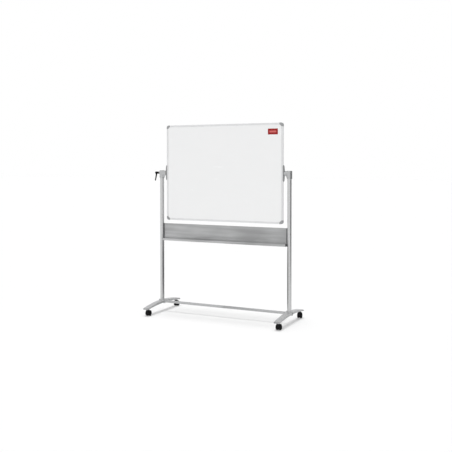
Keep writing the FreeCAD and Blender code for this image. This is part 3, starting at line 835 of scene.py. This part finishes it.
def settle(piece: bpy.types.Object, name: str, smooth: float) -> bpy.types.Object:
    """Name a piece, put its place into its mesh and smooth it by angle.

    Args:
        piece: the modelled object.
        name: its name.
        smooth: degrees under which neighbouring faces shade as one.

    Returns:
        The same object.
    """
    apply_place(piece)
    bpy.ops.object.shade_smooth_by_angle(angle=math.radians(smooth))
    piece.name = name
    piece.data.name = name
    return piece


def fit_out(piece: bpy.types.Object, finishes: Iterable[Finish], body: str, slot: str,
            *stands_for: str) -> None:
    """Dress a new piece, ride it on its body and report it.

    Args:
        piece: the finished mesh.
        finishes: one for each of its material indices.
        body: the CAD body it rides on.
        slot: the record's slot named for the piece; not used.
        stands_for: CAD nodes it replaces.
    """
    piece.data.materials.clear()
    for finish in finishes:
        piece.data.materials.append(finish.material())
    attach(piece, body)
    if stands_for:
        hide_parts(*stands_for)
    log.info("%s on %s, %d faces", piece.name, body, len(piece.data.polygons))


def middle(node: str) -> Vector:
    """Centre of a CAD node's box."""
    low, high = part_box(node)
    return (low + high) / 2


# ---- the CAD nodes' own finishes ----
@dataclass
class Dresser:
    """Gives every CAD node its own finish, or its slot's."""

    own: dict[str, Finish] = field(default_factory=lambda: dict(OWN_FINISH))

    def build(self) -> None:
        """Assign one material to each node's object."""
        for part in frame["record"]["subparts"]:
            finish = self.own.get(part["node"], FINISHES[part["material_slot"]])
            node = frame["nodes"][part["node"]]
            node.data.materials.clear()
            node.data.materials.append(finish.material())
            log.info("%s in %s", part["node"], finish.name)


# ---- board ----
@dataclass(frozen=True)
class Film:
    """An adhesive film's size, the radius of its corners and its print."""

    name: str
    width: float
    height: float
    thickness: float
    corner: float
    finish: Finish


@dataclass
class Board:
    """The blank label and the beads that hold the writing sheets."""

    label: Film = Film("blank_label", 98 * MM, 54 * MM, 0.35 * MM, 2.5 * MM, LABEL_RED)
    strip: Film = Film("label_strip", 66 * MM, 17 * MM, 0.15 * MM, 1.5 * MM, LABEL_PALE)
    label_from_side: float = 50 * MM
    label_from_top: float = 52 * MM
    corner_segments: int = 5
    eased_share: float = 0.4
    eased_segments: int = 2
    frame_face: float = 14 * MM
    bead_width: float = 2.4 * MM
    bead_below: float = 0.2 * MM
    bead_round_share: float = 0.9
    bead_segments: int = 4
    gusset_leg: float = 18 * MM

    def build(self) -> None:
        """Make the board's own pieces."""
        self.place_label()
        self.bead("front_sheet", "sheet_bead_front", -1)
        self.bead("back_sheet", "sheet_bead_back", 1)

    def place_label(self) -> None:
        """A bare red label with a blank pale strip, at the front's top right corner."""
        side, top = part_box("frame_right")[1].x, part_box("frame_top")[1].z
        centre = Vector((side - self.label_from_side - self.label.width / 2,
                         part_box("front_sheet")[0].y - self.label.thickness / 2,
                         top - self.label_from_top - self.label.height / 2))
        self.film(self.label, centre)
        centre.y -= (self.label.thickness + self.strip.thickness) / 2
        self.film(self.strip, centre)

    def film(self, film: Film, centre: Vector) -> None:
        """A thin adhesive film with round corners and an eased front edge.

        Args:
            film: its sizes and print.
            centre: its middle.
        """
        piece = start_block(centre, (film.width, film.thickness, film.height))
        with Edit(piece) as edit:
            edit.edges(lambda a, b: abs(a.y - b.y) > film.thickness / 2)
            edit.round(film.corner, self.corner_segments)
            edit.edges(lambda a, b: max(a.y, b.y) < centre.y)
            edit.round(film.thickness * self.eased_share, self.eased_segments)
            edit.outward()
        settle(piece, film.name, 30.0)
        fit_out(piece, (film.finish,), "board", "whiteboard_surface")

    def bead(self, sheet: str, name: str, facing: int) -> None:
        """Rounded bead between a writing sheet and the frame.

        Args:
            sheet: the sheet's node.
            name: the bead's name.
            facing: -1 for the front, 1 for the back.
        """
        left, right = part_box("frame_left"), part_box("frame_right")
        bottom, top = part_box("frame_bottom"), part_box("frame_top")
        width = right[1].x - left[0].x - 2 * self.frame_face
        height = top[1].z - bottom[0].z - 2 * self.frame_face
        outer = 0 if facing < 0 else 1
        sheet_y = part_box(sheet)[outer].y
        rise = left[outer].y - sheet_y - facing * self.bead_below
        centre = Vector((0.0, sheet_y, (top[1].z + bottom[0].z) / 2))
        half_x = width / 2 - self.bead_width + NEAR
        half_z = height / 2 - self.bead_width + NEAR
        piece = start_block(centre, (width, 0.0, height))
        with Edit(piece) as edit:
            bpy.ops.mesh.select_mode(type="VERT")
            edit.everything()
            bpy.ops.mesh.bevel(offset=self.gusset_leg, segments=1, affect="VERTICES")
            edit.everything()
            edit.inset(self.bead_width)
            bpy.ops.mesh.delete(type="FACE")
            edit.everything()
            edit.push((0.0, rise, 0.0))
            edit.edges(lambda *ends: all(
                abs(end.y - sheet_y - rise) < NEAR and abs(end.x) < half_x
                and abs(end.z - centre.z) < half_z for end in ends))
            edit.round(abs(rise) * self.bead_round_share, self.bead_segments)
            edit.outward()
        settle(piece, name, 50.0)
        fit_out(piece, (BEAD_GREY,), "board", "corner_plastic")


# ---- pivot heads ----
@dataclass
class Heads:
    """Cast heads on the posts, with the soft blends of a casting."""

    voxel: float = 1.1 * MM
    passes: int = 7
    smoothing: float = 0.5
    kept_share: float = 0.35

    def build(self) -> None:
        """Recast both heads from their CAD shapes."""
        for side in Side:
            self.recast(side.name.lower() + "_pivot_head")

    def recast(self, node: str) -> None:
        """A copy of a head with its inner corners filled and its edges eased.

        Args:
            node: the CAD node it stands for.
        """
        piece = start_copy(frame["nodes"][node], "cast_" + node)
        with Edit(piece) as edit:
            edit.outward()
        apply_modifier(piece, "REMESH", mode="VOXEL", voxel_size=self.voxel)
        apply_modifier(piece, "SMOOTH", factor=self.smoothing, iterations=self.passes)
        apply_modifier(piece, "DECIMATE", ratio=self.kept_share)
        settle(piece, piece.name, 60.0)
        fit_out(piece, (FINISHES["grey_cast"],), "stand", "grey_cast", node)


# ---- clamp lever ----
@dataclass(frozen=True)
class Station:
    """A section of the arm: how far down and outwards it lies, and its half sizes."""

    drop: float
    lean: float
    half_x: float
    half_y: float


@dataclass
class ClampLever:
    """Moulded handle of the clamp on the left-hand post."""

    inner_x: float = -701 * MM
    outer_x: float = -746 * MM
    hub_radius: float = 12 * MM
    neck_radius: float = 10.6 * MM
    outer_round: float = 3.6 * MM
    inner_round: float = 1.2 * MM
    recess_radius: float = 7.4 * MM
    recess_depth: float = 26 * MM
    screw_radius: float = 2.6 * MM
    screw_depth: float = 4 * MM
    overshoot: float = 2 * MM
    arm_x: float = -735 * MM
    stations: tuple[Station, ...] = (
        Station(0.0, 0.0, 7.8 * MM, 8.8 * MM),
        Station(16 * MM, 1 * MM, 7.6 * MM, 8.4 * MM),
        Station(30 * MM, 3 * MM, 7.2 * MM, 7.8 * MM),
        Station(48 * MM, 7 * MM, 6.6 * MM, 7.2 * MM),
        Station(66 * MM, 11.4 * MM, 6.2 * MM, 6.8 * MM),
        Station(81 * MM, 14.6 * MM, 5.4 * MM, 6 * MM),
    )
    smoothings: int = 3
    steps: int = 48

    def build(self) -> None:
        """Join the arm to the hub and open the recess for screw and spring."""
        hub = self.hub()
        for operation, tool in (("UNION", self.arm()), ("DIFFERENCE", self.bore())):
            apply_modifier(hub, "BOOLEAN", operation=operation, object=tool, solver="EXACT")
            bpy.data.objects.remove(tool)
        with Edit(hub) as edit:
            edit.outward()
        settle(hub, "moulded_handle", 38.0)
        fit_out(hub, (FINISHES["black_plastic"],), "clamp_handle", "black_plastic",
                "clamp_handle")

    def axis_point(self, x: float) -> Vector:
        """A point of the clamp's axis."""
        return Vector((x, 0.0, middle("clamp_stud").z))

    def drum(self, radius: float, start: float, end: float) -> bpy.types.Object:
        """A round bar on the clamp's axis.

        Args:
            radius: its radius.
            start: X of its outer end.
            end: X of its inner end.

        Returns:
            The object.
        """
        centre = self.axis_point((start + end) / 2)
        return start_drum(centre, radius, end - start, self.steps)

    def hub(self) -> bpy.types.Object:
        """Round hub, narrower towards the post, with rounded ends.

        Returns:
            The object.
        """
        piece = self.drum(self.hub_radius, self.outer_x, self.inner_x)
        share = self.neck_radius / self.hub_radius
        with Edit(piece) as edit:
            edit.faces(lambda c, n: n.x > FACING)
            edit.scale((1.0, share, share), self.axis_point(self.inner_x))
            edit.edges(lambda a, b: max(a.x, b.x) < self.outer_x + NEAR)
            edit.round(self.outer_round, 6)
            edit.edges(lambda a, b: min(a.x, b.x) > self.inner_x - NEAR)
            edit.round(self.inner_round, 3)
        return piece

    def arm(self) -> bpy.types.Object:
        """Tapered arm that hangs from the hub and turns outwards lower down.

        Returns:
            The object.
        """
        first = self.stations[0]
        root = self.axis_point(self.arm_x)
        piece = start_block(root, (2 * first.half_x, 2 * first.half_y, 0.0))
        with Edit(piece) as edit:
            edit.everything()
            for before, after in zip(self.stations, self.stations[1:]):
                edit.push((before.lean - after.lean, 0.0, before.drop - after.drop))
                place = root - Vector((after.lean, 0.0, after.drop))
                edit.scale((after.half_x / before.half_x, after.half_y / before.half_y, 1.0),
                           place)
            edit.outward()
            edit.edges(lambda a, b: min(a.z, b.z) > root.z - NEAR)
            bpy.ops.mesh.edge_face_add()
            edit.outward()
        apply_modifier(piece, "SUBSURF", levels=self.smoothings, render_levels=self.smoothings)
        return piece

    def bore(self) -> bpy.types.Object:
        """The recess as a stepped plug.

        Returns:
            The object.
        """
        piece = self.drum(self.recess_radius, self.outer_x - self.overshoot,
                          self.outer_x + self.recess_depth)
        with Edit(piece) as edit:
            edit.faces(lambda c, n: n.x > FACING)
            edit.inset(self.recess_radius - self.screw_radius)
            edit.push((self.screw_depth, 0.0, 0.0))
        return piece


# ---- castor wheels ----
@dataclass
class CastorWheels:
    """Eight wheels from one pattern: a rubber tread, a rim and a pocketed hub."""

    radius: float = 24.5 * MM
    width: float = 17.5 * MM
    shoulder: float = 8 * MM
    inner_edge: float = 1.5 * MM
    tyre_wall: float = 8.8 * MM
    rim_step: float = 1.3 * MM
    rim_width: float = 1.4 * MM
    dish: float = 1.1 * MM
    cap_radius: float = 5 * MM
    cap_rise: float = 1.5 * MM
    cap_edge: float = 0.8 * MM
    cap_crown: float = 0.4 * MM
    inner_recess: float = 0.8 * MM
    pocket_depth: float = 1.6 * MM
    pocket_edge: float = 1.3 * MM
    pocket_window: float = 1.5 * MM
    groove_half: float = 0.7 * MM
    groove_depth: float = 0.5 * MM
    groove_taper: float = 0.8
    rubber_margin: float = 0.05 * MM
    pockets: int = 6
    steps_per_pocket: int = 8
    castors: tuple[str, ...] = ("front_left", "front_right", "rear_left", "rear_right")

    def build(self) -> None:
        """Model the pattern, then a wheel for each castor's two sides."""
        pattern = self.pattern()
        for castor in self.castors:
            for side in Side:
                self.place(pattern, f"{castor}_castor_wheel_{side.name.lower()}", side)
        bpy.data.objects.remove(pattern)

    def pattern(self) -> bpy.types.Object:
        """A wheel about the origin, with its axle along X and its outer face at +X.

        Returns:
            The object.
        """
        steps = self.pockets * self.steps_per_pocket
        piece = start_drum(Vector(), self.radius, self.width, steps)
        half = self.width / 2
        rim = self.radius - self.tyre_wall
        with Edit(piece) as edit:
            edit.edges(lambda a, b: min(a.x, b.x) > 0.0)
            edit.round(self.shoulder, 6)
            edit.edges(lambda a, b: max(a.x, b.x) < self.inner_edge - half)
            edit.round(self.inner_edge, 3)
            self.groove(edit)
            edit.faces(lambda c, n: n.x > FACING and c.x > half - NEAR)
            edit.inset(self.tyre_wall - self.shoulder)
            edit.push((-self.rim_step, 0.0, 0.0))
            self.hub(edit, rim - self.rim_width)
            edit.faces(lambda c, n: n.x < -FACING and c.x < NEAR - half)
            edit.inset(self.tyre_wall)
            edit.push((self.inner_recess, 0.0, 0.0))
            for _ in (TYRE_BLACK, FINISHES["castor_black"]):
                bpy.ops.object.material_slot_add()
            edit.faces(lambda c, n: math.hypot(c.y, c.z) < rim - self.rubber_margin)
            piece.active_material_index = 1
            bpy.ops.object.material_slot_assign()
            edit.outward()
        return settle(piece, "wheel_pattern", 35.0)

    def groove(self, edit: Edit) -> None:
        """Shallow groove round the middle of the tread.

        Args:
            edit: the open wheel.
        """
        for x in (-self.groove_half, self.groove_half):
            edit.everything()
            bpy.ops.mesh.bisect(plane_co=(x, 0.0, 0.0), plane_no=(1.0, 0.0, 0.0))
        edit.faces(lambda c, n: abs(c.x) < self.groove_half and abs(n.x) < 1.0 - FACING)
        bpy.ops.mesh.extrude_region_move()
        share = 1.0 - self.groove_depth / self.radius
        edit.scale((self.groove_taper, share, share), Vector())

    def hub(self, edit: Edit, radius: float) -> None:
        """Dished hub with a raised cap, and pockets between its spokes.

        Args:
            edit: the open wheel, with the face inside its tyre picked.
            radius: outer radius of the dish.
        """
        edit.inset(self.rim_width)
        edit.push((-self.dish, 0.0, 0.0))
        edit.inset(radius - self.cap_radius)
        edit.push((self.cap_rise, 0.0, 0.0))
        edit.inset(self.cap_edge)
        edit.push((self.cap_crown, 0.0, 0.0))
        turn = math.tau / self.pockets
        spoke = turn / self.steps_per_pocket
        middle_radius = (radius + self.cap_radius) / 2
        for index in range(self.pockets):
            edit.faces(lambda c, n: n.x > FACING
                       and abs(math.hypot(c.y, c.z) - middle_radius) < self.pocket_window
                       and spoke < (math.atan2(c.z, c.y) - index * turn) % math.tau
                       < turn - spoke)
            edit.inset(self.pocket_edge)
            edit.push((-self.pocket_depth, 0.0, 0.0))

    def place(self, pattern: bpy.types.Object, node: str, side: Side) -> None:
        """Copy the pattern to one wheel's place.

        Args:
            pattern: the modelled wheel.
            node: the CAD node it stands for.
            side: which of its castor's two wheels it is.
        """
        roll = next(entry for entry in frame["joints"] if entry["name"] == node + "_roll")
        axle, fork = Vector(roll["axis"]).normalized(), Vector(roll["pos_m"])
        outer = axle * side.value
        turn = Matrix.Rotation(math.atan2(outer.y, outer.x), 4, "Z")
        along = (middle(node) - fork).dot(axle)
        piece = start_copy(pattern, node.replace("castor_wheel", "wheel"))
        piece.data.transform(Matrix.Translation(fork + axle * along) @ turn)
        fit_out(piece, (TYRE_BLACK, FINISHES["castor_black"]), node, "castor_black", node)


# ---- studio ----
@dataclass(frozen=True)
class Lamp:
    """A broad lamp: the way its light goes, its strength, its width in degrees."""

    name: str
    travel: Triple
    strength: float
    spread: float
    shadows: bool


@dataclass(frozen=True)
class Flag:
    """A dark panel across X: its middle, and its lengths along Y and Z."""

    name: str
    centre: Triple
    width: float
    height: float


@dataclass
class Studio:
    """White floor, soft lamps and the camera."""

    floor_half: float = 60.0
    floor_glow: float = 0.04
    floor_colour: Colour = (0.9, 0.9, 0.9)
    ambient: float = 0.36
    camera_place: Triple = (2.9796, -5.9518, 1.4513)
    camera_turn: float = 25.76
    camera_dip: float = 1.42
    camera_reach: float = 200.0
    lens: float = 56.2
    shift: tuple[float, float] = (-0.0162, -0.0987)
    lamps: tuple[Lamp, ...] = (
        Lamp("top", (0.03, 0.0, -1.0), 1.45, 24.0, True),
        Lamp("fill", (-0.08, 0.88, -0.3), 1.22, 30.0, False),
        Lamp("back", (0.08, -0.88, -0.3), 1.22, 30.0, False),
    )
    flags: tuple[Flag, ...] = (
        Flag("far", (3.4, 0.0, 1.7), 3.6, 3.4),
        Flag("near", (0.0, 0.25, 0.31), 2.5, 0.6),
    )
    flag_level: float = 0.05
    flag_hidden_from: tuple[str, ...] = ("camera", "diffuse", "shadow", "transmission",
                                         "volume_scatter")

    def build(self) -> None:
        """Set up everything that isn't the object."""
        bpy.context.scene.view_settings.view_transform = "Standard"
        self.world()
        self.panel("studio_floor", 2 * self.floor_half, self.floor_shader)
        for lamp in self.lamps:
            self.hang(lamp)
        for flag in self.flags:
            self.stand(flag)
        self.camera()

    def bright_rays(self, tree: bpy.types.NodeTree) -> Socket:
        """1 for camera, glossy and transmission rays, 0 for the light that falls.

        Args:
            tree: the node tree to add to.

        Returns:
            The factor socket.
        """
        path = add_node(tree, "LightPath")
        total = path.outputs["Is Camera Ray"]
        for name in ("Is Glossy Ray", "Is Transmission Ray"):
            node = add_node(tree, "Math")
            node.operation = "MAXIMUM"
            tree.links.new(total, node.inputs[0])
            tree.links.new(path.outputs[name], node.inputs[1])
            total = node.outputs["Value"]
        return total

    def world(self) -> None:
        """White to look at, dimmer as a light."""
        world = bpy.data.worlds.new("studio")
        tree = emptied(world)
        light = add_node(tree, "Background", Strength=self.ambient, Color=WHITE)
        seen = add_node(tree, "Background", Strength=1.0, Color=WHITE)
        mix = add_node(tree, "MixShader")
        output = add_node(tree, "OutputWorld")
        sources = (self.bright_rays(tree), light.outputs[0], seen.outputs[0])
        for source, target in zip(sources, mix.inputs):
            tree.links.new(source, target)
        tree.links.new(mix.outputs[0], output.inputs["Surface"])
        bpy.context.scene.world = world

    def panel(self, name: str, size: float,
              shader: Callable[[bpy.types.NodeTree], Socket]) -> bpy.types.Object:
        """A square of the studio with its own material.

        Args:
            name: the panel's name and its material's.
            size: its side.
            shader: fills the material's tree and gives its last socket.

        Returns:
            The object, marked as part of the stage.
        """
        bpy.ops.object.select_all(action="DESELECT")
        bpy.ops.mesh.primitive_plane_add(size=size)
        panel = bpy.context.object
        panel.name = name
        material = bpy.data.materials.new(name)
        tree = emptied(material)
        output = add_node(tree, "OutputMaterial")
        tree.links.new(shader(tree), output.inputs["Surface"])
        panel.data.materials.append(material)
        return panel

    def floor_shader(self, tree: bpy.types.NodeTree) -> Socket:
        """Matte white that keeps the object's shadow, with a slight glow to look at.

        Args:
            tree: the material's empty tree.

        Returns:
            The shader's socket.
        """
        matte = add_node(tree, "BsdfDiffuse", Color=(*self.floor_colour, 1.0))
        glow = add_node(tree, "Emission")
        share = add_node(tree, "Math")
        share.operation = "MULTIPLY"
        share.inputs[1].default_value = self.floor_glow
        both = add_node(tree, "AddShader")
        tree.links.new(self.bright_rays(tree), share.inputs[0])
        tree.links.new(share.outputs["Value"], glow.inputs["Strength"])
        tree.links.new(matte.outputs[0], both.inputs[0])
        tree.links.new(glow.outputs[0], both.inputs[1])
        return both.outputs[0]

    def flag_shader(self, tree: bpy.types.NodeTree) -> Socket:
        """An even dark grey."""
        return add_node(tree, "Emission", Color=WHITE, Strength=self.flag_level).outputs[0]

    def stand(self, flag: Flag) -> None:
        """Stand up a flag that only bright metal sees.

        Args:
            flag: its place and size.
        """
        panel = self.panel("studio_flag_" + flag.name, 1.0, self.flag_shader)
        panel.location = flag.centre
        panel.rotation_euler = (0.0, QUARTER, 0.0)
        panel.scale = (flag.height, flag.width, 1.0)
        for kind in self.flag_hidden_from:
            setattr(panel, "visible_" + kind, False)

    def hang(self, lamp: Lamp) -> None:
        """Hang a lamp that bright metal doesn't mirror.

        Args:
            lamp: its light.
        """
        data = bpy.data.lights.new(lamp.name, "SUN")
        data.energy = lamp.strength
        data.angle = math.radians(lamp.spread)
        data.use_shadow = lamp.shadows
        hung = bpy.data.objects.new(lamp.name, data)
        hung.visible_glossy = False
        hung.rotation_euler = Vector(lamp.travel).to_track_quat("-Z", "Y").to_euler()
        bpy.context.scene.collection.objects.link(hung)

    def camera(self) -> None:
        """The view from the front right, a little above the tray."""
        data = bpy.data.cameras.new("view")
        data.lens = self.lens
        data.shift_x, data.shift_y = self.shift
        data.clip_end = self.camera_reach
        camera = bpy.data.objects.new("view", data)
        camera.location = self.camera_place
        camera.rotation_euler = (QUARTER - math.radians(self.camera_dip), 0.0,
                                 math.radians(self.camera_turn))
        bpy.context.scene.collection.objects.link(camera)
        bpy.context.scene.camera = camera


def main() -> None:
    """Build the sub-assemblies in order."""
    logging.basicConfig(level=logging.INFO, format="%(name)s: %(message)s")
    for assembly in (Studio(), Dresser(), Board(), Heads(), ClampLever(), CastorWheels()):
        log.info("building %s", type(assembly).__name__)
        assembly.build()


if __name__ == "__main__":
    main()
